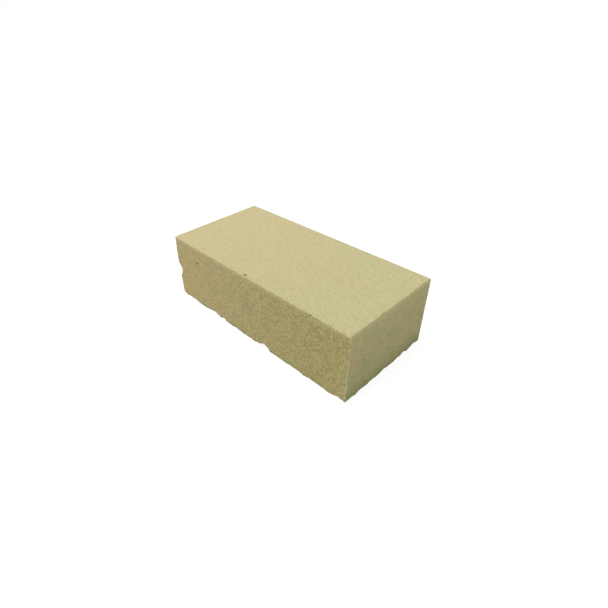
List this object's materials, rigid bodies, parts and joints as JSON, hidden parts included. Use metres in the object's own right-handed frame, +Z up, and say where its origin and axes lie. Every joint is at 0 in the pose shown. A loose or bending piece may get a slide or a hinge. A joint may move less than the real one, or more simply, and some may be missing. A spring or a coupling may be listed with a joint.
{
  "type": "floral foam brick",
  "caption": "Rectangular block of rigid dry foam that holds cut or dried flower stems pushed into it.",
  "frame": {"origin": "middle of the underside, on the surface that the brick stands on", "axes": "+X along the length towards the right end, -Y out of the front long face, +Z up through the smooth top"},
  "size_m": [0.23, 0.11, 0.07],
  "materials": {
    "dry_foam": "matt, open-celled, dusty, with crumbled lower edges"
  },
  "bodies": {
    "root": {"foam_block": "dry_foam"}
  },
  "joints": []
}
